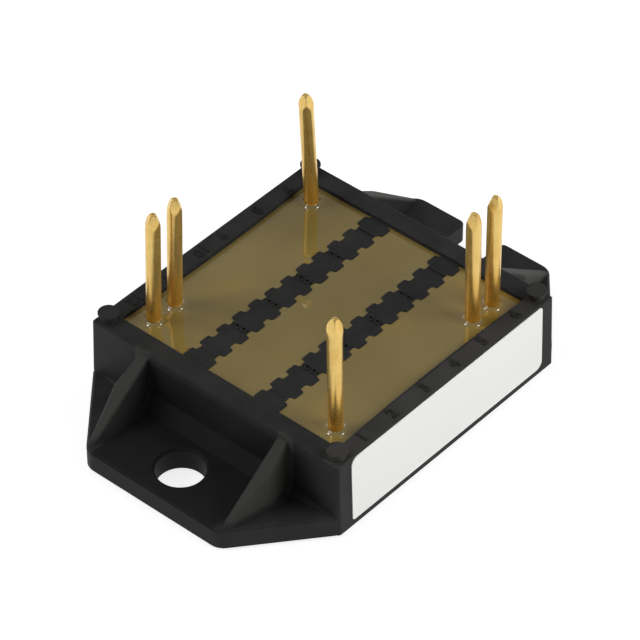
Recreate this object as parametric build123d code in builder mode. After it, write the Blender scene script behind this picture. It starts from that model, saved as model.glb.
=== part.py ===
from build123d import *
import os
from math import cos, radians, sin, tan

# Dual thyristor module, sizes in millimetres.
# Origin: centre of the cooling face (underside of the bottom copper). +Z points along the pins,
# X runs from the ear with the round hole (-X) to the ear with the open slot (+X),
# and the label is on the -Y wall.

# Moulded housing
body_length = 31.8  # over the short walls, at the rim
body_width = 31.4  # over the long walls, at the rim
body_height = 8.8  # underside to rim
wall_draft = 1.6  # degrees, the walls lean inwards towards the rim
end_wall = 2.15  # thickness of the short walls at the rim
side_wall = 1.9  # thickness of the long walls at the rim, at their ends
body_corner_radius = 0.5  # at the foot; the draft narrows it towards the rim
rim_edge_chamfer = 0.13
bottom_edge_chamfer = 0.25
cavity_corner_radius = 0.25
cavity_bow = 0.3  # the long walls are this much thicker at mid-length
foot_lift = 0.1  # the copper face stands this far proud of the housing underside

# Mounting ears
ear_reach = 8.85  # from the rim line of the short wall to the end of the ear
ear_thickness = 2.5
ear_tip_width = 16.9
ear_root_inset = 0.3  # from the side of the body to the side of the ear, where they meet
ear_corner_radius = 1.8
ear_edge_chamfer = 0.22
hole_setback = 4.15  # from the end of the ear to the screw axis
hole_diameter = 5.0
slot_width = 4.7
slot_mouth_radius = 0.7
foot_rise = 1.8  # sloped foot between the end wall and the ear plate
foot_run = 1.3
outer_foot_rise = 1.0  # outside the ribs the foot is lower and fades out towards the corners
outer_foot_run = 1.1
outer_foot_end = 0.08  # what is left of its rise and run where it ends
outer_foot_setback = 0.5  # from the side of the body to that end

# Gusset ribs, two on each ear
rib_gap = 16.4  # clear width between the two
rib_head_thickness = 1.3
rib_middle_thickness = 1.75
rib_toe_thickness = 0.7
rib_head_length = 3.0
rib_edge_chamfer = 0.15
rib_drop = 0.45  # from the rim down to the head of the rib
rib_toe_setback = 0.7  # from the end of the ear to the toe of the rib

# Corner stand-off posts
post_inset = 1.15
post_height = 0.97
post_stem_diameter = 1.56
post_head_diameter = 2.1
post_head_height = 0.16

# Toothed dividing bars across the cavity
bar_spacing = 9.0
bar_core_width = 2.16
bar_drop = 0.38  # from the rim down to the top of the bar
bar_depth = 3.0
tooth_pitch = 2.32
tooth_count = 12
tooth_width = 1.4
tooth_height = 0.54
tooth_chamfer = 0.16
block_step = 0.06  # every second pair of teeth lies this much lower

# Substrate: bottom copper, ceramic, top copper tracks
base_copper_thickness = 0.3
base_copper_setback = 0.65  # from the edge of the ceramic
ceramic_thickness = 0.63
ceramic_overlap = 0.7  # the ceramic reaches this far under the ledge
bead_thickness = 0.12
pocket_clearance = 0.15
track_thickness = 0.3
track_margin = 0.75  # from the cavity wall
track_gap = 1.1
track_corner_chamfer = 0.35
finger_width = 4.5
gate_strip_width = 2.4
pad_margin = 0.1  # a track reaches this far past the solder of its pin

# Chips, solder and bond wires
chip_size = 9.0
chip_thickness = 0.4
chip_margin = 0.6
chip_solder_thickness = 0.08
wire_diameter = 0.4  # the wires are drawn six-sided
wire_rise = 1.7
wire_crown = 0.45  # share of its span at which a wire runs level
bond_length = 0.9
bond_width = 0.55
bond_height = 0.28
wire_pitch = 1.7
wires_per_chip = 4
gate_inset = 0.9

# Terminal pins
pin_diameter = 1.5
pin_top = 22.3  # above the cooling face
pin_end_inset = 1.45  # from the edge of the outermost track, along X
pin_side_inset = 1.15  # from the edge of the outermost track, along Y
pin_pitch = 3.0
pin_root_size = 0.9  # the root is square and thinner up to the level of the gel, which anchors the pin
pin_solder_size = 2.2
pin_solder_thickness = 0.08
tip_length = 1.5
tip_width = 0.5

# Gel filling
gel_drop = 0.52  # from the rim down to the gel

# Label
label_length = 28.3
label_height = 7.65
label_wide_radius = 0.85  # upper corner at -X and lower corner at +X
label_tight_radius = 0.35
label_thickness = 0.1
label_bottom_gap = 1.0  # from the housing underside to the label

# Heights
rim_z = foot_lift + body_height
ear_top_z = foot_lift + ear_thickness
ceramic_z = base_copper_thickness
track_z = ceramic_z + ceramic_thickness
ledge_z = track_z + bead_thickness
track_top_z = track_z + track_thickness
chip_z = track_top_z + chip_solder_thickness
chip_top_z = chip_z + chip_thickness
pin_root_z = track_top_z + pin_solder_thickness
gel_top_z = rim_z - gel_drop
bar_top_z = rim_z - bar_drop
bar_bottom_z = bar_top_z - bar_depth

# Plan sizes
draft_spread = body_height * tan(radians(wall_draft))
foot_length = body_length + 2 * draft_spread
foot_width = body_width + 2 * draft_spread
cavity_length = body_length - 2 * end_wall
cavity_width = body_width - 2 * side_wall
ceramic_length = cavity_length + 2 * ceramic_overlap
ceramic_width = cavity_width + 2 * ceramic_overlap
ear_end_x = body_length / 2 + ear_reach
hole_x = ear_end_x - hole_setback
track_x = cavity_length / 2 - track_margin
track_y = cavity_width / 2 - cavity_bow - track_margin
half_gap = track_gap / 2
chip_centre = half_gap + chip_margin + chip_size / 2
strip_y = track_y - gate_strip_width
pin_x = track_x - pin_end_inset
pin_y = track_y - pin_side_inset
finger_x = -half_gap - finger_width / 2

pin_places = {
    "supply": (pin_x, pin_y),
    "middle": (-pin_x, -pin_y),
    "return": (pin_x, -pin_y),
    "gate_1": (-pin_x + pin_pitch, pin_y),
    "gate_2": (pin_x - pin_pitch, -pin_y),
    "auxiliary": (-pin_x, pin_y),
}

# Each track is one or two rectangles, given by opposite corners.
pad_reach = pin_solder_size / 2 + pad_margin
leg_x = pin_x - pad_reach
gate_end_x = pin_x - pin_pitch + pad_reach
track_rectangles = {
    "supply": [((half_gap, half_gap), (track_x, track_y))],
    "middle": [
        ((-track_x, -track_y), (-half_gap, -half_gap)),
        ((-half_gap - finger_width, -half_gap - 1), (-half_gap, strip_y - track_gap)),
    ],
    "return": [
        ((half_gap, -strip_y + track_gap), (track_x, -half_gap)),
        ((leg_x, -track_y), (track_x, -half_gap - 1)),
    ],
    "gate_1": [((-gate_end_x, strip_y), (-half_gap, track_y))],
    "gate_2": [((half_gap, -track_y), (gate_end_x, -strip_y))],
    "auxiliary": [
        ((-track_x, half_gap), (-half_gap - finger_width - track_gap, strip_y - track_gap)),
        ((-track_x, half_gap), (-leg_x, track_y)),
    ],
}

os.makedirs("parts", exist_ok=True)
pieces = []


def finish(part, label):
    """Names a piece and writes its file."""
    part.label = label
    export_step(part, f"parts/{label}.step")
    pieces.append(part)
    return part


# Plan of the foot: two tapering ears under the body, a round hole and an open slot
root_x = foot_length / 2
root_y = foot_width / 2 - ear_root_inset
with BuildSketch() as foot_plan:
    with BuildLine():
        Polyline(
            (-ear_end_x, ear_tip_width / 2),
            (-root_x, root_y),
            (root_x, root_y),
            (ear_end_x, ear_tip_width / 2),
            (ear_end_x, -ear_tip_width / 2),
            (root_x, -root_y),
            (-root_x, -root_y),
            (-ear_end_x, -ear_tip_width / 2),
            close=True,
        )
    make_face()
    with Locations((-hole_x, 0)):
        Circle(hole_diameter / 2, mode=Mode.SUBTRACT)
    with Locations((hole_x + hole_setback, 0)):
        SlotCenterToCenter(2 * hole_setback, slot_width, mode=Mode.SUBTRACT)
    end_corners = foot_plan.vertices().filter_by(lambda v: abs(abs(v.X) - ear_end_x) < 0.01)
    fillet(end_corners.filter_by(lambda v: abs(v.Y) > slot_width), ear_corner_radius)
    mouth = foot_plan.vertices().filter_by(
        lambda v: abs(v.X - ear_end_x) < 0.01 and abs(v.Y) < slot_width / 2 + 0.01
    )
    fillet(mouth, slot_mouth_radius)

# Plan of the cavity; its long sides bow inwards
with BuildSketch() as cavity_plan:
    with BuildLine():
        corner = Vector(cavity_length / 2, cavity_width / 2)
        side = ThreePointArc((-corner.X, corner.Y), (0, corner.Y - cavity_bow), corner)
        Line(corner, (corner.X, -corner.Y))
        Line((-corner.X, corner.Y), (-corner.X, -corner.Y))
        mirror(side, about=Plane.XZ)
    make_face()
    fillet(cavity_plan.vertices(), cavity_corner_radius)

# Plan of the two toothed bars; their ends run into the end walls
bar_end = cavity_length / 2 + end_wall / 2
with BuildSketch() as bar_plan:
    with BuildSketch(mode=Mode.PRIVATE) as one_bar:
        Rectangle(2 * bar_end, bar_core_width)
        with GridLocations(tooth_pitch, 0, tooth_count, 1):
            Rectangle(tooth_width, bar_core_width + 2 * tooth_height)
        teeth = one_bar.vertices().filter_by(lambda v: abs(v.X) < bar_end - 0.01)
        chamfer(teeth, tooth_chamfer)
    with GridLocations(0, bar_spacing, 1, 2):
        add(one_bar.sketch)

# One gusset rib, at the -X end and on the +Y side
rib_inner_y = rib_gap / 2
rib_y = rib_inner_y + rib_head_thickness / 2
rib_toe_x = ear_end_x - rib_toe_setback
rib_head_z = rim_z - rib_drop
wall_x = body_length / 2 - end_wall / 2
rib_widths = [
    (wall_x, rib_head_thickness),
    (body_length / 2, rib_head_thickness),
    (body_length / 2 + rib_head_length, rib_middle_thickness),
    (rib_toe_x, rib_toe_thickness),
]
with BuildPart() as rib:
    with BuildSketch(Plane.XY.offset(foot_lift)):
        with BuildLine():
            Polyline(
                (-wall_x, rib_inner_y),
                (-rib_toe_x, rib_inner_y),
                *[(-x, rib_inner_y + width) for x, width in reversed(rib_widths)],
                close=True,
            )
        make_face()
    extrude(amount=body_height)
    with BuildSketch(Plane.XZ):
        with BuildLine():
            Polyline(
                (-wall_x, foot_lift),
                (-wall_x, rib_head_z),
                (-body_length / 2, rib_head_z),
                (-rib_toe_x, ear_top_z),
                (-rib_toe_x, foot_lift),
                close=True,
            )
        make_face()
    extrude(amount=ear_end_x, both=True, mode=Mode.INTERSECT)
    slope = rib.faces().filter_by(lambda f: 0.3 < f.normal_at().Z < 0.9)
    chamfer(slope.edges().filter_by(lambda e: abs((e % 0).Y) < 0.5), rib_edge_chamfer)
    with BuildSketch(Plane.XY.offset(foot_lift)):
        add(foot_plan.sketch)
        offset(amount=-ear_edge_chamfer)
    extrude(amount=body_height, mode=Mode.INTERSECT)

# Housing: foot with ears, drafted walls, sloped feet, ribs, bars and posts
with BuildPart() as housing:
    with BuildSketch(Plane.XY.offset(foot_lift)):
        add(foot_plan.sketch)
    extrude(amount=ear_thickness)
    chamfer(housing.edges().group_by(Axis.Z)[-1], ear_edge_chamfer)

    with BuildSketch(Plane.XY.offset(foot_lift)):
        RectangleRounded(foot_length, foot_width, body_corner_radius)
    extrude(amount=body_height, taper=wall_draft)
    chamfer(housing.edges().group_by(Axis.Z)[-1], rim_edge_chamfer)

    # Straight sloped foot between the ribs of each ear
    with BuildSketch(Plane.XZ.offset(-rib_y)):
        with BuildLine():
            Polyline(
                (-wall_x, ear_thickness / 2),
                (-body_length / 2 - foot_run, ear_thickness / 2),
                (-body_length / 2 - foot_run, ear_top_z),
                (-body_length / 2, ear_top_z + foot_rise),
                (-wall_x, ear_top_z + foot_rise),
                close=True,
            )
            mirror(about=Plane.YZ)
        make_face()
    extrude(amount=2 * rib_y)

    # Outside the ribs the foot fades out towards the corners of the body
    outer_end_y = body_width / 2 - outer_foot_setback
    for side_x, side_y in ((-1, -1), (-1, 1), (1, -1), (1, 1)):
        for y, share in ((rib_y, 1), (outer_end_y, outer_foot_end)):
            with BuildSketch(Plane.XZ.offset(-side_y * y)):
                with BuildLine():
                    Polyline(
                        (side_x * wall_x, ear_thickness / 2),
                        (side_x * (body_length / 2 + share * outer_foot_run), ear_thickness / 2),
                        (side_x * (body_length / 2 + share * outer_foot_run), ear_top_z),
                        (side_x * body_length / 2, ear_top_z + share * outer_foot_rise),
                        (side_x * wall_x, ear_top_z + share * outer_foot_rise),
                        close=True,
                    )
                make_face()
        loft()

    add(rib.part)
    add(mirror(rib.part, about=Plane.XZ, mode=Mode.PRIVATE))
    add(mirror(rib.part, about=Plane.YZ, mode=Mode.PRIVATE))
    add(mirror(mirror(rib.part, about=Plane.XZ, mode=Mode.PRIVATE), about=Plane.YZ, mode=Mode.PRIVATE))
    outer_edges = housing.edges().group_by(Axis.Z)[0].filter_by(
        lambda e: not (e.geom_type == GeomType.CIRCLE and abs(e.radius - hole_diameter / 2) < 0.01)
    )
    chamfer(outer_edges, bottom_edge_chamfer)

    # Pocket for the substrate from below, cavity from above
    with BuildSketch(Plane.XY.offset(foot_lift)):
        Rectangle(ceramic_length + 2 * pocket_clearance, ceramic_width + 2 * pocket_clearance)
    extrude(amount=ledge_z - foot_lift, mode=Mode.SUBTRACT)
    with BuildSketch(Plane.XY.offset(ledge_z)):
        add(cavity_plan.sketch)
    extrude(amount=rim_z - ledge_z, mode=Mode.SUBTRACT)

    # Toothed bars, with every second pair of teeth a little lower
    with BuildSketch(Plane.XY.offset(bar_bottom_z)):
        add(bar_plan.sketch)
    extrude(amount=bar_depth)
    with BuildSketch(Plane.XY.offset(bar_top_z)):
        with GridLocations(4 * tooth_pitch, bar_spacing, tooth_count // 4, 2):
            Rectangle(2 * tooth_pitch, bar_core_width + 2 * tooth_height)
    extrude(amount=-block_step, mode=Mode.SUBTRACT)

    # Posts with thin mushroom heads
    post_grid = GridLocations(body_length - 2 * post_inset, body_width - 2 * post_inset, 2, 2)
    with BuildSketch(Plane.XY.offset(rim_z)):
        with post_grid:
            Circle(post_stem_diameter / 2)
    extrude(amount=post_height)
    with BuildSketch(Plane.XY.offset(rim_z + post_height - post_head_height)):
        with post_grid:
            Circle(post_head_diameter / 2)
    extrude(amount=post_head_height)
finish(housing.part, "housing")

# Label on the long wall at -Y, lying on the drafted face
label_mid_z = foot_lift + label_bottom_gap + label_height / 2
label_y = -body_width / 2 - (rim_z - label_mid_z) * tan(radians(wall_draft))
label_plane = Plane(
    origin=(0, label_y, label_mid_z),
    x_dir=(1, 0, 0),
    z_dir=(0, -cos(radians(wall_draft)), sin(radians(wall_draft))),
)
with BuildPart() as label:
    with BuildSketch(label_plane) as label_plan:
        Rectangle(label_length, label_height)
        wide_corners = label_plan.vertices().filter_by(lambda v: v.X * v.Y < 0)
        fillet(wide_corners, label_wide_radius)
        fillet(label_plan.vertices().sort_by(lambda v: v.X * v.Y)[-2:], label_tight_radius)
    extrude(amount=label_thickness)
finish(label.part, "label")

# Substrate and the bead that seals it to the ledge
with BuildPart() as base_copper:
    with BuildSketch():
        Rectangle(ceramic_length - 2 * base_copper_setback, ceramic_width - 2 * base_copper_setback)
    extrude(amount=base_copper_thickness)
finish(base_copper.part, "base_copper")

with BuildPart() as ceramic_plate:
    with BuildSketch(Plane.XY.offset(ceramic_z)):
        Rectangle(ceramic_length, ceramic_width)
    extrude(amount=ceramic_thickness)
finish(ceramic_plate.part, "ceramic_plate")

with BuildPart() as adhesive_bead:
    with BuildSketch(Plane.XY.offset(track_z)):
        Rectangle(ceramic_length, ceramic_width)
        add(cavity_plan.sketch, mode=Mode.SUBTRACT)
    extrude(amount=bead_thickness)
finish(adhesive_bead.part, "adhesive_bead")

# Top copper tracks, one for each pin
buried = []
for name, rectangles in track_rectangles.items():
    with BuildPart() as track:
        with BuildSketch(Plane.XY.offset(track_z)) as track_plan:
            for (x1, y1), (x2, y2) in rectangles:
                with Locations(((x1 + x2) / 2, (y1 + y2) / 2)):
                    Rectangle(abs(x2 - x1), abs(y2 - y1))
            chamfer(track_plan.vertices(), track_corner_chamfer)
        extrude(amount=track_thickness)
    buried.append(finish(track.part, f"track_{name}"))

# Chips on their solder: chip 1 on the supply track, chip 2 on the middle track
for number, side in ((1, 1), (2, -1)):
    centre = (side * chip_centre, side * chip_centre)
    with BuildPart() as chip_solder:
        with BuildSketch(Plane((*centre, track_top_z))):
            Rectangle(chip_size, chip_size)
        extrude(amount=chip_solder_thickness)
    buried.append(finish(chip_solder.part, f"chip_solder_{number}"))
    with BuildPart() as chip:
        with BuildSketch(Plane((*centre, chip_z))):
            Rectangle(chip_size, chip_size)
        extrude(amount=chip_thickness)
    buried.append(finish(chip.part, f"chip_{number}"))


def bond_wire(start, end, label):
    """Wire that loops between two flattened bonds; start and end lie on the bonded faces."""
    run_x = end[0] - start[0]
    run_y = end[1] - start[1]
    low = wire_diameter / 2
    top_z = max(start[2], end[2]) + wire_rise
    with BuildPart() as wire:
        with BuildLine() as path:
            Polyline(
                (start[0], start[1], start[2] + low),
                (start[0] + run_x * (1 - wire_crown) / 2, start[1] + run_y * (1 - wire_crown) / 2, top_z),
                (start[0] + run_x * (1 + wire_crown) / 2, start[1] + run_y * (1 + wire_crown) / 2, top_z),
                (end[0], end[1], end[2] + low),
            )
        with BuildSketch(Plane(origin=path.line @ 0, z_dir=path.line % 0)):
            RegularPolygon(wire_diameter / 2, 6)
        sweep(transition=Transition.RIGHT)
        for place in (start, end):
            with BuildSketch(Plane(origin=place, x_dir=(run_x, run_y, 0))):
                Rectangle(bond_length, bond_width)
            extrude(amount=bond_height)
    buried.append(finish(wire.part, label))


for number, side in ((1, 1), (2, -1)):
    for index in range(wires_per_chip):
        wire_y = side * chip_centre + (index - (wires_per_chip - 1) / 2) * wire_pitch
        start = (side * (chip_centre - chip_size / 6), wire_y, chip_top_z)
        end = (side * finger_x, wire_y, track_top_z)
        bond_wire(start, end, f"main_wire_{number}_{index + 1}")
    gate_x = side * (chip_centre - chip_size / 2 + gate_inset)
    gate_y = side * (chip_centre + chip_size / 2 - gate_inset)
    strip_end = (-side * 2 * half_gap, side * (strip_y + gate_strip_width / 2), track_top_z)
    bond_wire((gate_x, gate_y, chip_top_z), strip_end, f"gate_wire_{number}")
aux_start = (-half_gap - finger_width - track_gap - gate_inset, chip_centre, track_top_z)
bond_wire(aux_start, (-half_gap - finger_width + gate_inset, chip_centre, track_top_z), "auxiliary_wire")

# Terminal pins: a square root on its solder, a round shaft and a coined four-sided tip
tip_z = pin_top - tip_length
for name, (x, y) in pin_places.items():
    with BuildPart() as pin_solder:
        with BuildSketch(Plane((x, y, track_top_z))):
            Rectangle(pin_solder_size, pin_solder_size)
        extrude(amount=pin_solder_thickness)
    buried.append(finish(pin_solder.part, f"pin_solder_{name}"))
    with BuildPart() as tip:
        with BuildSketch(Plane((x, y, tip_z))):
            Circle(pin_diameter / 2)
        extrude(amount=tip_length)
        with BuildSketch(Plane((x, y, tip_z))):
            Rectangle(pin_diameter, pin_diameter)
        with BuildSketch(Plane((x, y, pin_top))):
            Rectangle(tip_width, tip_width)
        loft(mode=Mode.INTERSECT)
    with BuildPart() as pin:
        with BuildSketch(Plane((x, y, pin_root_z))):
            Rectangle(pin_root_size, pin_root_size)
        extrude(amount=gel_top_z - pin_root_z)
        with BuildSketch(Plane((x, y, gel_top_z))):
            Circle(pin_diameter / 2)
        extrude(amount=tip_z - gel_top_z)
        add(tip.part)
    buried.append(finish(pin.part, f"pin_{name}"))

# Gel fills the cavity up to its level, around the bars and everything buried in it
with BuildPart() as gel:
    with BuildSketch(Plane.XY.offset(track_z)):
        add(cavity_plan.sketch)
    extrude(amount=gel_top_z - track_z)
    with BuildSketch(Plane.XY.offset(bar_bottom_z)):
        add(bar_plan.sketch)
    extrude(amount=bar_depth, mode=Mode.SUBTRACT)
    for piece in buried:
        add(piece, mode=Mode.SUBTRACT)
finish(gel.part, "gel")
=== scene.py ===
"""Looks of a dual thyristor module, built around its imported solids.

Lengths in the dataclasses are millimetres and become metres where a mesh or lamp is made.
"""

from __future__ import annotations

import logging
import math
from dataclasses import dataclass
from enum import Enum
from typing import Iterable, Sequence

import bmesh
import bpy
import numpy as np
from mathutils import Matrix, Vector


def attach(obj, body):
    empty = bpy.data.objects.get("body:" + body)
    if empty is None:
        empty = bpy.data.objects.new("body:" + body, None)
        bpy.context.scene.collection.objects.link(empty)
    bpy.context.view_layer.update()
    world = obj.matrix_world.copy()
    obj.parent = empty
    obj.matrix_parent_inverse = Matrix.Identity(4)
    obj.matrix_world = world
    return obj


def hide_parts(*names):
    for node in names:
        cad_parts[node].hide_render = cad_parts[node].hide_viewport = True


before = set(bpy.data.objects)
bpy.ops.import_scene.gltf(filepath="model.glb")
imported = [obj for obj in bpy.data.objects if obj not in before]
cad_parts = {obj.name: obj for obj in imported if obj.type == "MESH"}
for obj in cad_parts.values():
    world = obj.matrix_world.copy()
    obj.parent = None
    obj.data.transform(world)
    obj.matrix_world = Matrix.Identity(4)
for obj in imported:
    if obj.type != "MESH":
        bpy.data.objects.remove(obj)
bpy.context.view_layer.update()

LOG = logging.getLogger("module")
MM = 0.001
BODY = "root"
BAR_OFFSET = 4.5
BAR_HALF = 1.08
PIN_RADIUS = 0.75
WELD = 0.001
Colour = tuple[float, float, float]
Point = tuple[float, float, float]
Span = tuple[float, float]
Place = tuple[float, float]
WHITE: Colour = (1.0, 1.0, 1.0)


def metres(*values: float) -> Vector:
    """Turns millimetres into a vector in metres."""
    return Vector([value * MM for value in values])


# Shader maths


@dataclass(frozen=True)
class Noise:
    """One noise: lumps in a millimetre, octaves, share of the finer octaves, and squeeze by axis."""

    scale: float
    detail: float = 2.0
    roughness: float = 0.5
    squeeze: Point | None = None


class Flow:
    """A node's output socket that works in Python expressions."""

    def __init__(self, graph: Graph, socket: bpy.types.NodeSocket) -> None:
        """Keeps the socket and the graph that its nodes go into."""
        self.graph = graph
        self.socket = socket

    def _math(self, operation: str, *values: Flow | float) -> Flow:
        """Adds one Math node and returns its value."""
        return self.graph.node("ShaderNodeMath", {"operation": operation}, dict(enumerate(values)))

    def __add__(self, other: Flow | float) -> Flow:
        """Adds."""
        return self._math("ADD", self, other)

    def __radd__(self, other: float) -> Flow:
        """Adds, from the right."""
        return self._math("ADD", other, self)

    def __sub__(self, other: Flow | float) -> Flow:
        """Subtracts."""
        return self._math("SUBTRACT", self, other)

    def __rsub__(self, other: float) -> Flow:
        """Subtracts, from the right."""
        return self._math("SUBTRACT", other, self)

    def __mul__(self, other: Flow | float) -> Flow:
        """Multiplies."""
        return self._math("MULTIPLY", self, other)

    def __rmul__(self, other: float) -> Flow:
        """Multiplies, from the right."""
        return self._math("MULTIPLY", other, self)

    def __truediv__(self, other: Flow | float) -> Flow:
        """Divides."""
        return self._math("DIVIDE", self, other)

    def __rtruediv__(self, other: float) -> Flow:
        """Divides, from the right."""
        return self._math("DIVIDE", other, self)

    def absolute(self) -> Flow:
        """Drops the sign."""
        return self._math("ABSOLUTE", self)

    def fraction(self) -> Flow:
        """Keeps what follows the decimal point."""
        return self._math("FRACT", self)

    def between(self, low: float, high: float) -> Flow:
        """Maps low to 0 and high to 1 smoothly, and stops there.

        Args:
            low: The value that becomes 0.
            high: The value that becomes 1.

        Returns:
            The mapped value.
        """
        settings = {"interpolation_type": "SMOOTHSTEP"}
        inputs = {"Value": self, "From Min": low, "From Max": high}
        return self.graph.node("ShaderNodeMapRange", settings, inputs)

    def part(self, name: str) -> Flow:
        """Returns the X, Y or Z of a vector."""
        return self.graph.node("ShaderNodeSeparateXYZ", {}, {"Vector": self}, name)


class Graph:
    """A node tree that is filled through one method."""

    bevel_samples: int = 6
    edge_span: Span = (0.01, 0.25)

    def __init__(self, tree: bpy.types.NodeTree) -> None:
        """Empties the tree and keeps it."""
        self.tree = tree
        self.tree.nodes.clear()

    def feed(self, socket: bpy.types.NodeSocket, value: object) -> None:
        """Links or sets one input socket.

        Args:
            socket: The input.
            value: A Flow to link, or a number or tuple to set.
        """
        if isinstance(value, Flow):
            self.tree.links.new(value.socket, socket)
        elif isinstance(value, tuple) and len(value) == 3 and socket.type == "RGBA":
            socket.default_value = (*value, 1.0)
        else:
            socket.default_value = value

    def node(self, kind: str, settings: dict, inputs: dict, output: str | int = 0) -> Flow:
        """Adds any node.

        Args:
            kind: Blender's name of the node type.
            settings: Properties, which are set first.
            inputs: Values or links by socket name or number.
            output: The output socket to return.

        Returns:
            The chosen output.
        """
        made = self.tree.nodes.new(kind)
        for key, value in settings.items():
            setattr(made, key, value)
        for key, value in inputs.items():
            self.feed(made.inputs[key], value)
        return Flow(self, made.outputs[output])

    def seen(self) -> Flow:
        """Returns 1 for rays from the camera, a reflection or clear material.

        Returns:
            The mask.
        """
        sights = ("Camera", "Glossy", "Transmission")
        camera, glossy, clear = (
            self.node("ShaderNodeLightPath", {}, {}, f"Is {sight} Ray") for sight in sights
        )
        return (camera + glossy + clear).between(0.0, 1.0)

    def place(self) -> Flow:
        """Returns the point on the object, in millimetres."""
        inputs = {0: self.node("ShaderNodeTexCoord", {}, {}, "Object"), "Scale": 1 / MM}
        return self.node("ShaderNodeVectorMath", {"operation": "SCALE"}, inputs)

    def noise(self, point: Flow, noise: Noise) -> Flow:
        """Returns noise from 0 to 1.

        Args:
            point: Where it is read, in millimetres.
            noise: What it is like.

        Returns:
            The noise value.
        """
        if noise.squeeze is not None:
            settings = {"operation": "MULTIPLY"}
            point = self.node("ShaderNodeVectorMath", settings, {0: point, 1: noise.squeeze})
        inputs = {"Scale": noise.scale, "Detail": noise.detail, "Roughness": noise.roughness}
        return self.node("ShaderNodeTexNoise", {}, {"Vector": point, **inputs})

    def mix(self, share: Flow | float, first: object, second: object) -> Flow:
        """Mixes two colours; 6, 7 and 2 are the colour sockets of the Mix node.

        Args:
            share: 0 for the first, 1 for the second.
            first: A colour or a Flow.
            second: A colour or a Flow.

        Returns:
            The mixed colour.
        """
        return self.node("ShaderNodeMix", {"data_type": "RGBA"}, {0: share, 6: first, 7: second}, 2)

    def rounded(self, radius: float) -> Flow:
        """Returns the normal of the surface with its edges rounded, in millimetres of radius."""
        return self.node("ShaderNodeBevel", {"samples": self.bevel_samples}, {"Radius": radius * MM})

    def edges(self, rounded: Flow) -> Flow:
        """Returns 1 on edges and 0 on faces.

        Args:
            rounded: The normal with rounded edges.

        Returns:
            The mask.
        """
        flat = self.node("ShaderNodeNewGeometry", {}, {}, "Normal")
        settings = {"operation": "DOT_PRODUCT"}
        agreement = self.node("ShaderNodeVectorMath", settings, {0: rounded, 1: flat}, "Value")
        return (1 - agreement).between(*self.edge_span)

    def bump(self, height: Flow, depth: float, strength: float, under: Flow | None = None) -> Flow:
        """Turns a height from 0 to 1 into a surface normal.

        Args:
            height: The height.
            depth: Millimetres between 0 and 1.
            strength: How much of it shows.
            under: The normal that it is laid on, if not the surface's own.

        Returns:
            The normal.
        """
        inputs = {"Strength": strength, "Distance": depth * MM, "Height": height}
        if under is not None:
            inputs["Normal"] = under
        return self.node("ShaderNodeBump", {}, inputs)


class Surface(Graph):
    """The node tree of one material, with its Principled shader."""

    def __init__(self, name: str) -> None:
        """Makes a material that holds only an output and a Principled shader.

        Args:
            name: The material's name.
        """
        self.material = bpy.data.materials.new(name)
        self.material.use_nodes = True
        super().__init__(self.material.node_tree)
        self.output = self.tree.nodes.new("ShaderNodeOutputMaterial")
        self.surface = self.tree.nodes.new("ShaderNodeBsdfPrincipled")
        self.tree.links.new(self.surface.outputs[0], self.output.inputs["Surface"])

    def shade(self, **sockets: object) -> bpy.types.Material:
        """Feeds the Principled shader.

        Args:
            **sockets: Values or links by socket name, with underscores for spaces.

        Returns:
            The material.
        """
        for name, value in sockets.items():
            self.feed(self.surface.inputs[name.replace("_", " ")], value)
        return self.material


# Finishes


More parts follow.
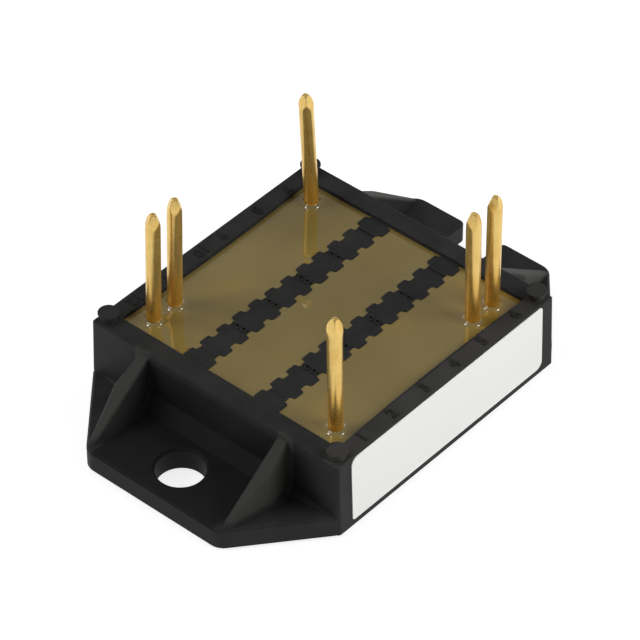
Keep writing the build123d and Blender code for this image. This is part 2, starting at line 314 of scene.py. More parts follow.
@dataclass(frozen=True)
class MouldedPlastic:
    """Black glass-filled moulding: fine eroded texture, soft rubbed edges, seams across the bars,
    painted light on the front rim and ribs, and painted shade in the pockets of the round-hole end.
    """

    name: str = "moulded_plastic"
    dark: Colour = (0.0128, 0.0132, 0.0136)
    pale: Colour = (0.0240, 0.0242, 0.0236)
    rubbed: Colour = (0.042, 0.0415, 0.0395)
    fleck: Colour = (0.022, 0.0215, 0.0205)
    front_rub: Colour = (0.044, 0.0425, 0.0395)
    rib_rub: Colour = (0.042, 0.041, 0.037)
    sheltered: Colour = (0.0045, 0.0045, 0.0046)
    seam_black: Colour = (0.002, 0.002, 0.002)
    clouds: Noise = Noise(0.35, 3.0)
    grains: Noise = Noise(6.0, 3.0, 0.6)
    flecks: Noise = Noise(3.1)
    wear: Noise = Noise(1.3, 3.0)
    tone_span: Span = (0.3, 0.8)
    fleck_span: Span = (0.62, 0.75)
    wear_span: Span = (0.3, 0.7)
    cloud_share: float = 0.6
    grain_share: float = 0.5
    fleck_share: float = 0.6
    edge_share: float = 0.6
    rub_share: float = 0.35
    front_cloud: float = 0.4
    shelter_share: float = 0.75
    seam_share: float = 0.8
    roughness: float = 0.5
    grain_roughness: float = 0.12
    cloud_roughness: float = 0.08
    edge_polish: float = 0.08
    specular: float = 0.16
    grain_depth: float = 0.022
    seam_depth: float = 0.09
    bump_strength: float = 0.6
    edge_radius: float = 0.14
    front_edge: Span = (13.6, 13.9)
    rim_low: Span = (8.7, 8.8)
    seam_pitch: float = 4.64
    seam_line: Span = (0.028, 0.07)
    bar_side: Span = (0.9 * BAR_HALF, BAR_HALF)
    bar_low: Span = (8.3, 8.35)
    bar_high: Span = (8.6, 8.65)
    hole_end: Span = (15.4, 15.7)
    pocket_side: Span = (7.5, 8.1)
    corner_start: Span = (10.05, 10.45)
    corner_end: Span = (10.55, 14.55)
    corner_reach: Span = (16.6, 20.1)
    shelter_top: Span = (7.4, 8.6)
    rib_inside: Span = (8.15, 8.3)
    rib_outside: Span = (10.0, 10.15)
    rib_wall: Span = (15.4, 16.0)
    rib_foot: Span = (2.7, 3.3)

    def material(self) -> bpy.types.Material:
        """Builds the material.

        Returns:
            The material.
        """
        graph = Surface(self.name)
        point = graph.place()
        cloud = graph.noise(point, self.clouds)
        grain = graph.noise(point, self.grains)
        fleck = graph.noise(point, self.flecks).between(*self.fleck_span)
        soft = graph.rounded(self.edge_radius)
        edge = graph.edges(soft) * graph.noise(point, self.wear).between(*self.wear_span)
        seam = self.seams(point)
        tone = (cloud * self.cloud_share + grain * self.grain_share).between(*self.tone_span)
        front = self.front(point) * (self.rub_share + cloud * self.front_cloud)
        ribs = self.ribs(point) * (self.rub_share + grain * self.grain_share)
        colour = graph.mix(tone, self.dark, self.pale)
        colour = graph.mix(fleck * self.fleck_share, colour, self.fleck)
        colour = graph.mix(edge * self.edge_share, colour, self.rubbed)
        # Painted light: the outer half of the front rim is made paler.
        colour = graph.mix(front, colour, self.front_rub)
        # Painted shade: the pockets beside the ribs of the round-hole end are darkened.
        colour = graph.mix(self.shelter(point) * self.shelter_share, colour, self.sheltered)
        # Painted light: the ribs are made paler.
        colour = graph.mix(ribs, colour, self.rib_rub)
        colour = graph.mix(seam * self.seam_share, colour, self.seam_black)
        rough = self.roughness + grain * self.grain_roughness + cloud * self.cloud_roughness
        rough = rough - edge * self.edge_polish
        relief = grain * self.grain_depth - seam * self.seam_depth
        return graph.shade(
            Base_Color=colour,
            Roughness=rough,
            Specular_IOR_Level=self.specular,
            Normal=graph.bump(relief, 1.0, self.bump_strength, soft),
        )

    def front(self, point: Flow) -> Flow:
        """Returns 1 on the outer half of the front rim, which painted light makes paler."""
        high = point.part("Z").between(*self.rim_low)
        return (-1 * point.part("Y")).between(*self.front_edge) * high

    def shelter(self, point: Flow) -> Flow:
        """Returns 1 in the pockets beside the ribs of the round-hole end, where painted shade darkens
        the moulding.

        Args:
            point: The point on the object, in millimetres.

        Returns:
            The mask.
        """
        x, y, z = (point.part(axis) for axis in "XYZ")
        pocket = 1 - y.absolute().between(*self.pocket_side)
        corner = (-1 * y).between(*self.corner_start)
        corner = corner * (1 - (-1 * y).between(*self.corner_end))
        corner = corner * (1 - x.absolute().between(*self.corner_reach))
        end = (-1 * x).between(*self.hole_end)
        return (pocket + corner) * end * (1 - z.between(*self.shelter_top))

    def ribs(self, point: Flow) -> Flow:
        """Returns 1 on the ribs, which stand proud and get painted light.

        Args:
            point: The point on the object, in millimetres.

        Returns:
            The mask.
        """
        x, y, z = (point.part(axis) for axis in "XYZ")
        band = y.absolute().between(*self.rib_inside) * (1 - y.absolute().between(*self.rib_outside))
        return band * x.absolute().between(*self.rib_wall) * z.between(*self.rib_foot)

    def seams(self, point: Flow) -> Flow:
        """Returns 1 in the fine seams that cross the top of the bars.

        Args:
            point: The point on the object, in millimetres.

        Returns:
            The mask.
        """
        x, y, z = (point.part(axis) for axis in "XYZ")
        along = ((x / self.seam_pitch).fraction() - 0.5).absolute() * self.seam_pitch
        across = (y.absolute() - BAR_OFFSET).absolute()
        top = z.between(*self.bar_low) * (1 - z.between(*self.bar_high))
        line = 1 - along.between(*self.seam_line)
        return line * (1 - across.between(*self.bar_side)) * top


@dataclass(frozen=True)
class Grained:
    """A finish of two colours, mixed by a fine grain and, if it has any, by soft clouds."""

    name: str
    first: Colour
    second: Colour
    grains: Noise
    clouds: Noise | None = None
    grain_share: float = 1.0
    cloud_share: float = 0.4
    metallic: float = 0.0
    roughness: float = 0.45
    grain_roughness: float = 0.12
    specular: float = 0.5
    grain_depth: float = 0.004
    bump_strength: float = 0.4

    def material(self) -> bpy.types.Material:
        """Builds the material.

        Returns:
            The material.
        """
        graph = Surface(self.name)
        point = graph.place()
        grain = graph.noise(point, self.grains)
        share = grain * self.grain_share
        if self.clouds is not None:
            share = share + graph.noise(point, self.clouds) * self.cloud_share
        return graph.shade(
            Base_Color=graph.mix(share, self.first, self.second),
            Metallic=self.metallic,
            Roughness=self.roughness + grain * self.grain_roughness,
            Specular_IOR_Level=self.specular,
            Normal=graph.bump(grain, self.grain_depth, self.bump_strength),
        )


@dataclass(frozen=True)
class Recess(Grained):
    """Bottom of a small moulded hole, which takes hardly any light; its dark colour is painted shade.
    """

    name: str = "recess_painted_shade"
    first: Colour = (0.0016, 0.0016, 0.0017)
    second: Colour = (0.0035, 0.0035, 0.0035)
    grains: Noise = Noise(9.0, 3.0)
    roughness: float = 0.7
    grain_roughness: float = 0.15
    specular: float = 0.1
    grain_depth: float = 0.01


@dataclass(frozen=True)
class LabelPaper(Grained):
    """Blank white label with a faint paper grain."""

    name: str = "label_paper"
    first: Colour = (0.865, 0.87, 0.835)
    second: Colour = (0.82, 0.825, 0.79)
    grains: Noise = Noise(7.0, 4.0, 0.6, squeeze=(1.0, 1.0, 2.2))
    clouds: Noise = Noise(0.2)
    grain_share: float = 0.3
    roughness: float = 0.42
    specular: float = 0.4


@dataclass(frozen=True)
class WhiteCeramic(Grained):
    """Unglazed white ceramic with a sugar-fine grain."""

    name: str = "white_ceramic"
    first: Colour = (0.8, 0.8, 0.77)
    second: Colour = (0.68, 0.68, 0.66)
    grains: Noise = Noise(12.0, 3.0)
    clouds: Noise = Noise(0.3)
    grain_share: float = 0.5
    grain_roughness: float = 0.2
    bump_strength: float = 0.5


@dataclass(frozen=True)
class PottingGel:
    """Glossy brown-gold potting with slow colour drifts, a painted warm light near the return and
    gate_2 pins, a painted shadow between the rear bar and the rear wall, and a wet skin.
    """

    name: str = "potting_gel"
    deep: Colour = (0.154, 0.110, 0.028)
    pale: Colour = (0.183, 0.136, 0.040)
    warm: Colour = (0.235, 0.145, 0.022)
    shady: Colour = (0.115, 0.082, 0.022)
    drifts: Noise = Noise(0.09)
    swirls: Noise = Noise(0.5, 3.0, squeeze=(0.5, 1.6, 1.0))
    glows: Noise = Noise(0.13, 1.0, squeeze=(1.0, 1.4, 1.0))
    waves: Noise = Noise(0.22, 1.0)
    drift_span: Span = (0.3, 0.7)
    glow_span: Span = (0.55, 0.8)
    drift_share: float = 0.7
    swirl_share: float = 0.3
    glow_share: float = 0.4
    warm_x: Span = (5.5, 12.5)
    warm_y: Span = (3.0, 11.0)
    warm_share: float = 0.8
    shady_x: Span = (1.0, 9.0)
    shady_y: Span = (5.0, 11.0)
    shady_share: float = 0.7
    roughness: float = 0.025
    swirl_roughness: float = 0.04
    specular: float = 0.75
    coat: float = 0.8
    drift_coat: float = 0.2
    coat_roughness: float = 0.02
    coat_ior: float = 1.75
    wave_depth: float = 0.03
    bump_strength: float = 0.5

    def material(self) -> bpy.types.Material:
        """Builds the material.

        Returns:
            The material.
        """
        graph = Surface(self.name)
        point = graph.place()
        drift = graph.noise(point, self.drifts).between(*self.drift_span)
        swirl = graph.noise(point, self.swirls)
        glow = graph.noise(point, self.glows).between(*self.glow_span)
        x, y = point.part("X"), point.part("Y")
        warm_light_mask = x.between(*self.warm_x) * (-1 * y).between(*self.warm_y)
        shadow = x.between(*self.shady_x) * y.between(*self.shady_y)
        colour = graph.mix(drift * self.drift_share + swirl * self.swirl_share, self.deep, self.pale)
        colour = graph.mix(glow * self.glow_share, colour, self.warm)
        # Painted light: a warmer, paler patch near the return and gate_2 pins; painted shadow: a
        # darker patch between the rear bar and the rear wall.
        colour = graph.mix(warm_light_mask * self.warm_share, colour, self.warm)
        colour = graph.mix(shadow * self.shady_share, colour, self.shady)
        return graph.shade(
            Base_Color=colour,
            Roughness=self.roughness + swirl * self.swirl_roughness,
            Specular_IOR_Level=self.specular,
            Coat_Weight=self.coat + drift * self.drift_coat,
            Coat_Roughness=self.coat_roughness,
            Coat_IOR=self.coat_ior,
            Normal=graph.bump(graph.noise(point, self.waves), self.wave_depth, self.bump_strength),
        )


@dataclass(frozen=True)
class GoldPlate:
    """Thin gold over a drawn brass wire, with draw lines, amber patches that are partly wear and
    partly painted dark reflection, and a painted amber reflection of the gel towards the root.
    """

    name: str = "gold_plate"
    bright: Colour = (0.78, 0.545, 0.175)
    amber: Colour = (0.62, 0.37, 0.08)
    root_tint: Colour = (0.80, 0.40, 0.045)
    draw_lines: Noise = Noise(1.0, 4.0, 0.6, squeeze=(7.0, 7.0, 0.16))
    fine_lines: Noise = Noise(1.0, squeeze=(22.0, 22.0, 0.5))
    patches: Noise = Noise(0.7, 3.0)
    patch_share: float = 0.6
    line_share: float = 0.5
    worn_span: Span = (0.45, 0.85)
    root_span: Span = (8.4, 16.4)
    root_share: float = 0.75
    metallic: float = 0.77
    roughness: float = 0.17
    line_roughness: float = 0.14
    fine_roughness: float = 0.06
    line_height: float = 0.7
    fine_height: float = 0.3
    line_depth: float = 0.015
    bump_strength: float = 0.5

    def material(self) -> bpy.types.Material:
        """Builds the material.

        Returns:
            The material.
        """
        graph = Surface(self.name)
        point = graph.place()
        lines = graph.noise(point, self.draw_lines)
        fine = graph.noise(point, self.fine_lines)
        patches = graph.noise(point, self.patches)
        root = 1 - point.part("Z").between(*self.root_span)
        # Amber patches are partly wear on the plating and partly painted dark reflection.
        wear_and_reflection = (patches * self.patch_share + lines * self.line_share).between(*self.worn_span)
        colour = graph.mix(wear_and_reflection, self.bright, self.amber)
        # Painted reflection: amber towards the root stands in for the gel reflected in the pin.
        colour = graph.mix(root * self.root_share, colour, self.root_tint)
        height = lines * self.line_height + fine * self.fine_height
        return graph.shade(
            Base_Color=colour,
            Metallic=self.metallic,
            Roughness=self.roughness + lines * self.line_roughness + fine * self.fine_roughness,
            Normal=graph.bump(height, self.line_depth, self.bump_strength),
        )


@dataclass(frozen=True)
class BareCopper:
    """Bare copper layer with rolling lines and a light tarnish."""

    name: str = "bare_copper"
    fresh: Colour = (0.78, 0.42, 0.27)
    tarnish: Colour = (0.46, 0.22, 0.13)
    rolling: Noise = Noise(1.0, 3.0, squeeze=(0.3, 9.0, 1.0))
    clouds: Noise = Noise(0.16, 4.0, 0.6)
    cloud_span: Span = (0.42, 0.72)
    cloud_share: float = 0.6
    line_share: float = 0.15
    metallic: float = 1.0
    roughness: float = 0.3
    line_roughness: float = 0.12
    cloud_roughness: float = 0.1
    line_depth: float = 0.01
    bump_strength: float = 0.5

    def material(self) -> bpy.types.Material:
        """Builds the material.

        Returns:
            The material.
        """
        graph = Surface(self.name)
        point = graph.place()
        lines = graph.noise(point, self.rolling)
        cloud = graph.noise(point, self.clouds).between(*self.cloud_span)
        share = cloud * self.cloud_share + lines * self.line_share
        return graph.shade(
            Base_Color=graph.mix(share, self.fresh, self.tarnish),
            Metallic=self.metallic,
            Roughness=self.roughness + lines * self.line_roughness + cloud * self.cloud_roughness,
            Normal=graph.bump(lines, self.line_depth, self.bump_strength),
        )


class Inner(Enum):
    """What the hidden pieces are made of: colour, metallic share and roughness."""

    SOLDER = ((0.42, 0.42, 0.43), 1.0, 0.42)
    CHIP = ((0.05, 0.05, 0.075), 0.6, 0.18)
    WIRE = ((0.8, 0.8, 0.82), 1.0, 0.22)
    ADHESIVE = ((0.36, 0.36, 0.37), 0.0, 0.5)


@dataclass(frozen=True)
class InnerFinish:
    """Finish of a piece that the gel hides."""

    kind: Inner
    grains: Noise = Noise(5.0, 3.0)
    dimming: float = 0.75
    grain_depth: float = 0.006

    def material(self) -> bpy.types.Material:
        """Builds the material.

        Returns:
            The material.
        """
        colour, metallic, roughness = self.kind.value
        grained = Grained(
            name=f"inner_{self.kind.name.lower()}",
            first=tuple(self.dimming * channel for channel in colour),
            second=colour,
            grains=self.grains,
            metallic=metallic,
            roughness=roughness,
            grain_depth=self.grain_depth,
        )
        return grained.material()


# Pieces


def dress(name: str, material: bpy.types.Material) -> None:
    """Gives a solid from the frame its material.

    Args:
        name: The node's name.
        material: What it is made of.
    """
    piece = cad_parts[name]
    piece.data.materials.clear()
    piece.data.materials.append(material)
    LOG.info("%s keeps its solid and gets %s", name, material.name)


def add_piece(
    name: str, mesh: bpy.types.Mesh, material: bpy.types.Material
) -> bpy.types.Object:
    """Adds a piece that rides on the module.

    Args:
        name: The piece's name.
        mesh: Its mesh, in metres.
        material: What it is made of.

    Returns:
        The new object.
    """
    mesh.materials.clear()
    mesh.materials.append(material)
    piece = bpy.data.objects.new(name, mesh)
    bpy.context.scene.collection.objects.link(piece)
    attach(piece, BODY)
    LOG.info("%s is added in %s with %d faces", name, material.name, len(mesh.polygons))
    return piece


def turned(
    name: str, profile: Sequence[Place], spots: Iterable[Place], level: float, columns: int
) -> bpy.types.Mesh:
    """Turns a profile round an upright axis at several places.

    Args:
        name: The mesh's name.
        profile: Radius and height pairs, in millimetres.
        spots: Plan places of the axes.
        level: Height of the profile's zero.
        columns: Steps round each axis.

    Returns:
        The mesh.
    """
    points, faces = [], []
    angles = [2 * math.pi * k / columns for k in range(columns)]
    for x, y in spots:
        base = len(points)
        for radius, height in profile:
            for angle in angles:
                east, north = radius * math.cos(angle), radius * math.sin(angle)
                points.append(metres(x + east, y + north, level + height))
        for row in range(len(profile) - 1):
            for k in range(columns):
                low, high = base + row * columns, base + (row + 1) * columns
                after = (k + 1) % columns
                faces.append((low + k, high + k, high + after, low + after))
    mesh = bpy.data.meshes.new(name)
    mesh.from_pydata(points, [], faces)
    tidied = bmesh.new()
    tidied.from_mesh(mesh)
    bmesh.ops.remove_doubles(tidied, verts=tidied.verts, dist=WELD * MM)
    bmesh.ops.recalc_face_normals(tidied, faces=tidied.faces)
    tidied.to_mesh(mesh)
    tidied.free()
    mesh.shade_smooth()
    return mesh


@dataclass
class Housing:
    """The black frame with its ears, ribs, posts and toothed bars, and the marks moulded on it."""

    finish: MouldedPlastic = MouldedPlastic()
    # The numbers use a darker copy of the moulding: painted shade for their low relief.
    marks: MouldedPlastic = MouldedPlastic(
        name="moulded_marks",
        dark=(0.0085, 0.0087, 0.009),
        pale=(0.016, 0.016, 0.0157),
        rubbed=(0.05, 0.05, 0.048),
        front_rub=(0.022, 0.0215, 0.0205),
    )
    rim_top: float = 8.9
    number_row: float = 14.62
    number_size: float = 1.75
    number_relief: float = 0.12
    number_bevel: float = 0.3
    number_steps: int = 5
    front_numbers: tuple[float, ...] = (-11.25, -6.95, -2.25, 2.2, 6.4, 11.4)
    rear_numbers: tuple[float, ...] = (11.1, 6.7, 1.6, -1.5, -6.3, -11.0)
    bar_top: float = 8.52
    ring_places: tuple[float, ...] = (-6.96, -2.32, 2.32, 6.96)
    ring_sides: tuple[float, ...] = (-0.42, 0.42)
    ring_columns: int = 24
    ring_radius: float = 0.42
    ring_bore: float = 0.17
    ring_height: float = 0.07
    ring_sink: float = 0.02
    ring_draft: float = 0.01
    outer_round: float = 0.06
    bore_round: float = 0.04
    dish_flat: float = 0.6
    dish_heights: Point = (0.006, 0.008, 0.02)

    def build(self) -> None:
        """Dresses the moulding and adds its marks."""
        plastic = self.finish.material()
        dress("housing", plastic)
        add_piece("rim_numbers", self.number_mesh(), self.marks.material())
        add_piece("bar_rings", self.ring_mesh(), plastic)
        add_piece("bar_ring_bores", self.bore_mesh(), Recess().material())

    def number_mesh(self) -> bpy.types.Mesh:
        """Makes plain numbers in low relief along both long rims; each row reads from outside.

        Returns:
            The mesh of all numbers.
        """
        row = self.number_row
        rows = [(self.front_numbers, -row, 0.0), (self.rear_numbers, row, math.pi)]
        shape = bmesh.new()
        number = 1
        for places, y, turn in rows:
            for x in places:
                stand = Matrix.Translation(metres(x, y, self.rim_top)) @ Matrix.Rotation(turn, 4, "Z")
                glyph = self.glyph(str(number))
                glyph.transform(stand)
                shape.from_mesh(glyph)
                bpy.data.meshes.remove(glyph)
                number += 1
        mesh = bpy.data.meshes.new("rim_numbers")
        shape.to_mesh(mesh)
        shape.free()
        return mesh

    def glyph(self, word: str) -> bpy.types.Mesh:
        """Makes one number at the origin with a softened top edge.

        Args:
            word: The number.

        Returns:
            Its mesh.
        """
        curve = bpy.data.curves.new("glyph", "FONT")
        curve.body = word
        curve.size = self.number_size * MM
        curve.align_x, curve.align_y = "CENTER", "CENTER"
        curve.extrude = self.number_relief * (1 - self.number_bevel) * MM
        curve.bevel_depth = self.number_relief * self.number_bevel * MM
        curve.resolution_u = self.number_steps
        holder = bpy.data.objects.new("glyph", curve)
        bpy.context.scene.collection.objects.link(holder)
        evaluated = holder.evaluated_get(bpy.context.evaluated_depsgraph_get())
        mesh = bpy.data.meshes.new_from_object(evaluated)
        bpy.data.objects.remove(holder)
        bpy.data.curves.remove(curve)
        return mesh

    def ring_spots(self) -> list[Place]:
        """Returns the plan place of every ring."""
        rows = [side * BAR_OFFSET + step for side in (-1, 1) for step in self.ring_sides]
        return [(x, y) for x in self.ring_places for y in rows]

    def ring_mesh(self) -> bpy.types.Mesh:
        """Makes the low collars round the small holes on the bars.

        Returns:
            The mesh of all collars.
        """
        bore, rim, lip = self.ring_bore, self.ring_radius, self.ring_height
        profile = [
            (bore, -self.ring_sink),
            (bore, lip / 2),
            (bore + self.bore_round, lip),
            (rim - self.outer_round, lip),
            (rim - self.ring_draft, lip / 2),
            (rim, -self.ring_sink),
        ]
        return turned("bar_rings", profile, self.ring_spots(), self.bar_top, self.ring_columns)

    def bore_mesh(self) -> bpy.types.Mesh:
        """Makes the dished bottoms of the small holes, which carry painted shade.

        Returns:
            The mesh of all bottoms.
        """
        radii = (0.0, self.ring_bore * self.dish_flat, self.ring_bore + self.ring_draft)
        profile = list(zip(radii, self.dish_heights))
        return turned("bar_ring_bores", profile, self.ring_spots(), self.bar_top, self.ring_columns)


@dataclass
class Filling:
    """The gel in the frame's three compartments, with a skin that climbs its walls, bars and pins."""

    finish: PottingGel = PottingGel()
    level: float = 8.39
    half_length: float = 13.75
    half_width: float = 13.8
    bow: float = 0.3
    tooth_pitch: float = 2.32
    tooth_half: float = 0.7
    tooth_reach: float = 1.62
    wall_climb: float = 0.03
    wall_reach: float = 0.1
    bar_climb: float = 0.045
    bar_reach: float = 0.28
    pin_climb: float = 0.28
    pin_reach: float = 0.27
    blend: int = 3
    fine: float = 0.1
    coarse: float = 0.35
    fine_inside: Span = (2.3, 3.8)
    fine_outside: Span = (BAR_OFFSET + 0.8, 6.8)
    wall_band: float = 10.2
    tuck: float = 0.15
    skirt: float = 0.4
    pins: tuple[Place, ...] = ()

    def build(self) -> None:
        """Dresses the gel and lays its skin."""
        gel = self.finish.material()
        dress("gel", gel)
        add_piece("gel_skin", self.skin(), gel)

    def rows(self) -> np.ndarray:
        """Places the y lines: fine near walls, pins and bars, coarse between.

        Returns:
            The lines.
        """
        stretches = [
            np.arange(0.0, self.fine_inside[0], self.coarse),
            np.arange(*self.fine_inside, self.fine),
            np.arange(*self.fine_outside, self.fine),
            np.arange(self.fine_outside[1], self.wall_band, self.coarse),
            np.arange(self.wall_band, self.half_width + self.tuck, self.fine),
        ]
        half = np.concatenate(stretches)
        return np.unique(np.concatenate([-half, half]).round(4))

    def walls(self, x: np.ndarray, y: np.ndarray) -> list[np.ndarray]:
        """Returns the distances to the end wall and to the bowed long wall."""
        along = self.half_width - self.bow * (1 - (x / self.half_length) ** 2)
        return [self.half_length - np.abs(x), along - np.abs(y)]

    def bars(self, x: np.ndarray, y: np.ndarray) -> np.ndarray:
        """Measures the distance to the nearer toothed bar.

        Args:
            x: Places along the module.
            y: Places across it.

        Returns:
            The distance at each place, negative inside the bar.
        """
        across = np.abs(np.abs(y) - BAR_OFFSET)
        along = np.abs((x / self.tooth_pitch) % 1 - 0.5) * self.tooth_pitch - self.tooth_half
        over = across - self.tooth_reach
        outside = np.hypot(np.maximum(along, 0), np.maximum(over, 0))
        tooth = outside + np.minimum(np.maximum(along, over), 0)
        return np.minimum(across - BAR_HALF, tooth)

    def shafts(self, x: np.ndarray, y: np.ndarray) -> list[np.ndarray]:
        """Returns the distance to each pin, negative inside it."""
        return [np.hypot(x - px, y - py) - PIN_RADIUS for px, py in self.pins]

    def heights(self, x: np.ndarray, y: np.ndarray) -> np.ndarray:
        """Measures how far the skin climbs above the level.

        Args:
            x: Places along the module.
            y: Places across it.

        Returns:
            The climb at each place.
        """
        parts = [(gap, self.wall_climb, self.wall_reach) for gap in self.walls(x, y)]
        parts.append((self.bars(x, y), self.bar_climb, self.bar_reach))
        parts += [(gap, self.pin_climb, self.pin_reach) for gap in self.shafts(x, y)]
        climbs = (climb * np.exp(-np.maximum(gap, 0) / reach) for gap, climb, reach in parts)
        return sum(climb**self.blend for climb in climbs) ** (1 / self.blend)

    def skin(self) -> bpy.types.Mesh:
        """Makes the gel's free surface with a skirt that goes down inside the gel.

        Returns:
            The mesh.
        """
        columns = np.arange(-self.half_length - self.tuck, self.half_length + self.tuck, self.fine)
        across = len(columns)
        x, y = np.meshgrid(columns, self.rows())
        z = self.level + self.heights(x, y)
        depth = np.min([*self.walls(x, y), self.bars(x, y), *self.shafts(x, y)], axis=0)
        deepest = np.max([depth[:-1, :-1], depth[1:, :-1], depth[:-1, 1:], depth[1:, 1:]], axis=0)
        row, column = np.nonzero(deepest > -self.tuck / 2)
        corner = row * across + column
        quads = np.stack([corner, corner + 1, corner + 1 + across, corner + across], axis=1)
        points = np.stack([x, y, z], axis=-1).reshape(-1, 3) * MM
        mesh = bpy.data.meshes.new("gel_skin")
        mesh.from_pydata(points.tolist(), [], quads.tolist())
        self.hem(mesh)
        mesh.shade_smooth()
        return mesh

    def hem(self, mesh: bpy.types.Mesh) -> None:
        """Drops loose points and turns the skin's edge down into the gel.

        Args:
            mesh: The skin, which is changed.
        """
        shape = bmesh.new()
        shape.from_mesh(mesh)
        bmesh.ops.delete(shape, geom=[v for v in shape.verts if not v.link_faces], context="VERTS")
        rim = [edge for edge in shape.edges if edge.is_boundary]
        made = bmesh.ops.extrude_edge_only(shape, edges=rim)["geom"]
        for vertex in made:
            if isinstance(vertex, bmesh.types.BMVert):
                vertex.co.z = (self.level - self.skirt) * MM
        for edge in rim:
            edge.smooth = False
        shape.to_mesh(mesh)
        shape.free()


@dataclass(frozen=True)
class Pin:
    """One pin: its place, the height and lean of its tip, the turn of its flats, how far it swells."""

    name: str
    x: float
    y: float
    top: float
    lean_x: float
    lean_y: float
    turn: float
    swell: float = 0.0


@dataclass
class Terminals:
    """Six gold pins with square roots, and tips coined by four flats."""

    finish: GoldPlate = GoldPlate()
    gel_level: float = 8.38
    root_bottom: float = 1.31
    root_top: float = 7.9
    root_half: float = 0.45
    root_step: float = 0.1
    shaft_rings: int = 31
    tip_length: float = 1.56
    tip_half: float = 0.22
    tip_bulge: float = 1.25
    tip_rings: int = 44
    tip_crowding: float = 1.5
    tip_margin: float = 0.01
    dome: float = 1.3
    corner_power: int = 36
    swell_start: float = 0.15
    swell_reach: float = 0.8
    columns: int = 72
    pins: tuple[Pin, ...] = (
        Pin("supply", 11.55, 11.6, top=22.3, lean_x=-0.36, lean_y=0.41, turn=0.0),
        Pin("middle", -11.55, -11.6, top=22.29, lean_x=-0.08, lean_y=0.09, turn=0.0, swell=0.07),
        Pin("return", 11.55, -11.6, top=22.15, lean_x=-0.01, lean_y=0.01, turn=20.0),
        Pin("gate_1", -8.55, 11.6, top=21.85, lean_x=0.19, lean_y=-0.22, turn=48.0),
        Pin("gate_2", 8.55, -11.6, top=21.96, lean_x=-0.09, lean_y=0.10, turn=30.0),
        Pin("auxiliary", -11.55, 11.6, top=21.85, lean_x=0.18, lean_y=-0.21, turn=52.0),
    )

    def build(self) -> None:
        """Makes the pins and dresses their solder pads."""
        gold = self.finish.material()
        solder = InnerFinish(Inner.SOLDER).material()
        for pin in self.pins:
            piece = add_piece(f"pin_{pin.name}_coined", self.pin_mesh(pin), gold)
            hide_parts(f"pin_{pin.name}")
            dress(f"pin_solder_{pin.name}", solder)

    def ring(self, radius: float, half: float, turn: float) -> list[Place]:
        """Draws one outline: a circle cut by four flats with softened corners.

        Args:
            radius: The circle's radius.
            half: Distance of the flats from the axis.
            turn: Turn of the flats in radians.

        Returns:
            The points.
        """
        points = []
        for k in range(self.columns):
            angle = 2 * math.pi * k / self.columns
            offset = (angle - turn + math.pi / 4) % (math.pi / 2) - math.pi / 4
            flat = half / math.cos(offset)
            reach = (radius**-self.corner_power + flat**-self.corner_power) ** (-1 / self.corner_power)
            points.append((reach * math.cos(angle), reach * math.sin(angle)))
        return points

    def swelling(self, pin: Pin, away: float) -> float:
        """Returns how much wider coining has made a pin, away from the start of its tip."""
        return pin.swell * math.exp(-(((self.swell_start + away) / self.swell_reach) ** 2))

    def rings(self, pin: Pin) -> list[tuple[float, list[Place]]]:
        """Draws every ring of a pin, from its root up.

        Args:
            pin: Its sizes.

        Returns:
            Height and outline of each ring.
        """
        turn = math.radians(pin.turn)
        # Flats this far out leave the shaft round.
        uncut = 4 * PIN_RADIUS
        wide = PIN_RADIUS + self.tip_margin
        corner = self.root_half * math.sqrt(2)
        made = [(z, self.ring(corner, self.root_half, 0.0)) for z in (self.root_bottom, self.root_top)]
        shaft_start, shaft_end = self.root_top + self.root_step, pin.top - self.tip_length
        for step in range(self.shaft_rings):
            z = shaft_start + (shaft_end - shaft_start) * step / self.shaft_rings
            made.append((z, self.ring(PIN_RADIUS + self.swelling(pin, shaft_end - z), uncut, turn)))
        for step in range(self.tip_rings):
            share = (1 - step / self.tip_rings) ** self.tip_crowding
            cap = math.sqrt(1 - (1 - min(1.0, share * self.tip_length / self.dome)) ** 2)
            flat = wide - (wide - self.tip_half) * (1 - share) ** self.tip_bulge
            fat = self.swelling(pin, self.tip_length * (1 - share))
            outline = self.ring((PIN_RADIUS + fat) * cap, flat + fat, turn)
            made.append((pin.top - self.tip_length * share, outline))
        return made

    def pin_mesh(self, pin: Pin) -> bpy.types.Mesh:
        """Makes one pin, leaning from the gel upwards.

        Args:
            pin: Its sizes.

        Returns:
            The closed mesh.
        """
        points, faces = [], []
        rings = self.rings(pin)
        for z, outline in rings:
            lean = max(0.0, (z - self.gel_level) / (pin.top - self.gel_level))
            x, y = pin.x + pin.lean_x * lean, pin.y + pin.lean_y * lean
            points += [metres(x + east, y + north, z) for east, north in outline]
        for row in range(len(rings) - 1):
            low, high = row * self.columns, (row + 1) * self.columns
            for k in range(self.columns):
                after = (k + 1) % self.columns
                faces.append((low + k, low + after, high + after, high + k))
        faces.append(tuple(reversed(range(self.columns))))
        apex = len(points)
        points.append(metres(pin.x + pin.lean_x, pin.y + pin.lean_y, pin.top))
        last = (len(rings) - 1) * self.columns
        faces += [(last + k, last + (k + 1) % self.columns, apex) for k in range(self.columns)]
        mesh = bpy.data.meshes.new(f"pin_{pin.name}_coined")
        mesh.from_pydata(points, [], faces)
        mesh.shade_smooth()
        return mesh


@dataclass
class Label:
    """The blank label on the long wall."""

    finish: LabelPaper = LabelPaper()

    def build(self) -> None:
        """Dresses the label."""
        dress("label", self.finish.material())


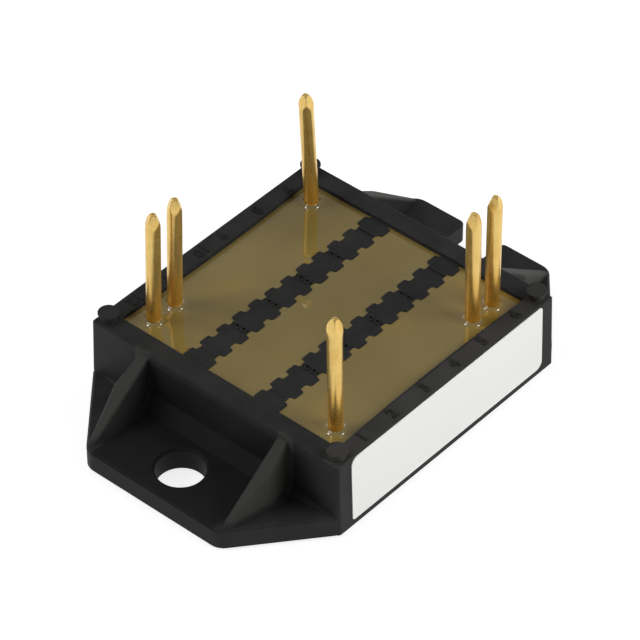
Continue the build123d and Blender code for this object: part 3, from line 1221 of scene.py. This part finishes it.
@dataclass
class Substrate:
    """Ceramic with copper on both faces, chips, solder and bond wires."""

    tracks: tuple[str, ...] = ("supply", "middle", "return", "gate_1", "gate_2", "auxiliary")

    def build(self) -> None:
        """Dresses every layer and what stands on it."""
        copper = BareCopper().material()
        for name in ("base_copper", *[f"track_{track}" for track in self.tracks]):
            dress(name, copper)
        dress("ceramic_plate", WhiteCeramic().material())
        dress("adhesive_bead", InnerFinish(Inner.ADHESIVE).material())
        chip = InnerFinish(Inner.CHIP).material()
        solder = InnerFinish(Inner.SOLDER).material()
        wire = InnerFinish(Inner.WIRE).material()
        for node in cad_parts:
            if node.startswith("chip_solder"):
                dress(node, solder)
            elif node.startswith("chip_"):
                dress(node, chip)
            elif "wire" in node:
                dress(node, wire)


# Stage


@dataclass(frozen=True)
class Lamp:
    """One square lamp: its place, side, watts, what it points at and whether reflections show it."""

    name: str
    place: Point
    size: float
    power: float
    aim: Point = (0, 0, 5)
    mirrored: bool = False


@dataclass
class Studio:
    """Camera at the photograph's angle, a plain pale floor and soft lamps."""

    azimuth: float = -48.802
    elevation: float = 41.952
    roll: float = -0.180
    focal_pixels: float = 3974.0
    distance: float = 389.70
    aim_right: float = -0.320
    aim_up: float = 5.419
    copper_lift: float = 0.1
    picture: int = 640
    sensor: float = 36.0
    near: float = 10.0
    far: float = 20000.0
    floor_half: float = 1500.0
    floor_grey: float = 0.34
    floor_roughness: float = 0.9
    floor_glow: float = 0.77
    ceiling_half: float = 3000.0
    ceiling_height: float = 520.0
    ceiling_grey: float = 0.02
    ceiling_glow: float = 0.15
    ambient: float = 0.19
    lamps: tuple[Lamp, ...] = (
        Lamp("top_lamp", (-60, 40, 420), 300, 0.2, aim=(0, 0, 0)),
        Lamp("right_lamp", (160, -430, 250), 300, 2.3),
        Lamp("left_lamp", (-260, 340, 240), 260, 1.35),
        Lamp("left_card", (-230, 200, 360), 260, 0.24, mirrored=True),
        Lamp("left_spot", (-4, 220, 427), 62, 0.1, mirrored=True),
        Lamp("right_spot", (217, -32, 427), 62, 0.1, mirrored=True),
    )

    def build(self) -> None:
        """Makes the camera, the lamps, the floor and the world."""
        self.camera()
        self.floor()
        for lamp in self.lamps:
            self.hang(lamp)
        self.ceiling()
        self.world()
        bpy.context.scene.view_settings.view_transform = "Standard"

    def camera(self) -> None:
        """Stands the camera where the photograph was taken."""
        turn, rise, tilt = (math.radians(v) for v in (self.azimuth, self.elevation, self.roll))
        level = math.cos(rise)
        back = Vector((math.sin(turn) * level, -math.cos(turn) * level, math.sin(rise)))
        right = Vector((math.cos(turn), math.sin(turn), 0.0))
        up = back.cross(right)
        aim = right * self.aim_right + up * self.aim_up + Vector((0, 0, self.copper_lift))
        side = right * math.cos(tilt) + up * math.sin(tilt)
        top = up * math.cos(tilt) - right * math.sin(tilt)
        stand = Matrix((side, top, back)).transposed().to_4x4()
        stand.translation = (aim + back * self.distance) * MM
        data = bpy.data.cameras.new("camera")
        data.sensor_width = self.sensor
        data.lens = self.focal_pixels * self.sensor / self.picture
        data.clip_start = self.near * MM
        data.clip_end = self.far * MM
        lens = bpy.data.objects.new("camera", data)
        lens.matrix_world = stand
        bpy.context.scene.collection.objects.link(lens)
        bpy.context.scene.camera = lens

    def sheet(
        self, name: str, half: float, height: float, material: bpy.types.Material
    ) -> bpy.types.Object:
        """Adds a level square sheet.

        Args:
            name: Its name.
            half: Half its side.
            height: How high it lies.
            material: What it is made of.

        Returns:
            The sheet.
        """
        mesh = bpy.data.meshes.new(name)
        corners = [metres(x * half, y * half, height) for x, y in ((-1, -1), (1, -1), (1, 1), (-1, 1))]
        mesh.from_pydata(corners, [], [(0, 1, 2, 3)])
        mesh.materials.append(material)
        sheet = bpy.data.objects.new(name, mesh)
        bpy.context.scene.collection.objects.link(sheet)
        return sheet

    def floor(self) -> None:
        """Lays a pale floor that still takes the module's shadow."""
        graph = Surface("floor")
        grey = (self.floor_grey,) * 3
        graph.shade(Base_Color=grey, Roughness=self.floor_roughness, Specular_IOR_Level=0.0)
        light = {"Color": WHITE, "Strength": graph.seen() * self.floor_glow}
        glow = graph.node("ShaderNodeEmission", {}, light)
        matt = Flow(graph, graph.surface.outputs[0])
        total = graph.node("ShaderNodeAddShader", {}, {0: matt, 1: glow})
        graph.feed(graph.output.inputs["Surface"], total)
        plane = self.sheet("floor", self.floor_half, 0.0, graph.material)

    def ceiling(self) -> None:
        """Hangs a dark ceiling over the set, which only reflections see."""
        grey = (self.ceiling_grey,) * 3
        material = Surface("ceiling").shade(
            Base_Color=grey, Emission_Color=WHITE, Emission_Strength=self.ceiling_glow
        )
        card = self.sheet("ceiling", self.ceiling_half, self.ceiling_height, material)
        for sight in ("visible_camera", "visible_diffuse", "visible_shadow", "visible_transmission"):
            setattr(card, sight, False)

    def hang(self, lamp: Lamp) -> None:
        """Hangs one square lamp.

        Args:
            lamp: What it is like.
        """
        data = bpy.data.lights.new(lamp.name, "AREA")
        data.size = lamp.size * MM
        data.energy = lamp.power
        light = bpy.data.objects.new(lamp.name, data)
        light.location = metres(*lamp.place)
        light.rotation_euler = (metres(*lamp.aim) - light.location).to_track_quat("-Z", "Y").to_euler()
        light.visible_glossy = lamp.mirrored
        bpy.context.scene.collection.objects.link(light)

    def world(self) -> None:
        """Surrounds the module with a soft grey that the camera sees as white."""
        world = bpy.data.worlds.new("studio")
        bpy.context.scene.world = world
        world.use_nodes = True
        graph = Graph(world.node_tree)
        ambient, seen = (
            graph.node("ShaderNodeBackground", {}, {"Color": WHITE, "Strength": strength})
            for strength in (self.ambient, 1.0)
        )
        choice = graph.node("ShaderNodeMixShader", {}, {0: graph.seen(), 1: ambient, 2: seen})
        output = graph.tree.nodes.new("ShaderNodeOutputWorld")
        graph.feed(output.inputs["Surface"], choice)


def main() -> None:
    """Builds every piece, then the studio."""
    logging.basicConfig(level=logging.INFO, format="%(name)s: %(message)s")
    terminals = Terminals()
    filling = Filling(pins=tuple((pin.x, pin.y) for pin in terminals.pins))
    for assembly in (Housing(), filling, terminals, Label(), Substrate(), Studio()):
        assembly.build()
        LOG.info("%s is done", type(assembly).__name__)


if __name__ == "__main__":
    main()
